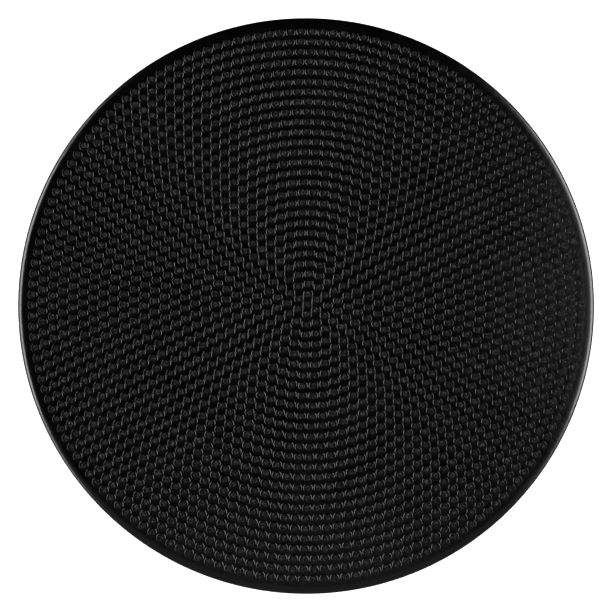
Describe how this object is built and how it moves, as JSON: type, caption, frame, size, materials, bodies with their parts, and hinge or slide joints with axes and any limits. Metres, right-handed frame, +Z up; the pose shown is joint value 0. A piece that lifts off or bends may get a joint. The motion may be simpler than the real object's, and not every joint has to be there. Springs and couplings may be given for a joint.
{
  "type": "inflatable wobble cushion",
  "caption": "Round black inflatable balance cushion with small nubs on top, massage nodules beneath, a welded side seam and a needle valve.",
  "frame": {"origin": "on the floor under the middle of the cushion", "axes": "+Z up through the cushion's middle; the valve is on the +X side"},
  "size_m": [0.33, 0.33, 0.06],
  "materials": {
    "nubbed_vinyl": "satin black soft PVC with fine-grained nubs",
    "shell_vinyl": "satin black soft PVC",
    "underside_vinyl": "matt to satin black soft PVC",
    "seam_vinyl": "glossier welded PVC bead",
    "valve_vinyl": "smooth satin PVC boss",
    "core_rubber": "matt self-sealing rubber",
    "plug_plastic": "moulded satin plastic"
  },
  "bodies": {
    "base": {"bottom_face": "underside_vinyl"},
    "lower_shell": {"lower_shoulder": "shell_vinyl", "lower_side_wall": "shell_vinyl", "valve_seat": "valve_vinyl", "valve_core": "core_rubber"},
    "rim": {"weld_seam": "seam_vinyl", "upper_side_wall": "shell_vinyl"},
    "top": {"upper_face": "nubbed_vinyl"},
    "plug": {"valve_plug": "plug_plastic"}
  },
  "joints": [
    {"name": "floor_sink", "type": "slide", "parent": "base", "child": "lower_shell", "axis": [0, 0, 1], "range_m": [-0.006, 0], "stiffness_N_per_m": 60000, "deforming": ["bottom_face"]},
    {"name": "tilt_x", "type": "hinge", "parent": "lower_shell", "child": "rim", "pos_m": [0, 0, 0.0325], "axis": [1, 0, 0], "range_deg": [-4, 4], "stiffness_Nm_per_rad": 300, "deforming": ["lower_side_wall"]},
    {"name": "tilt_y", "type": "hinge", "parent": "rim", "child": "top", "pos_m": [0, 0, 0.0325], "axis": [0, 1, 0], "range_deg": [-4, 4], "stiffness_Nm_per_rad": 300, "deforming": ["upper_side_wall"]},
    {"name": "plug_pull", "type": "slide", "parent": "lower_shell", "child": "plug", "axis": [1, 0, 0], "range_m": [0, 0.012]}
  ]
}
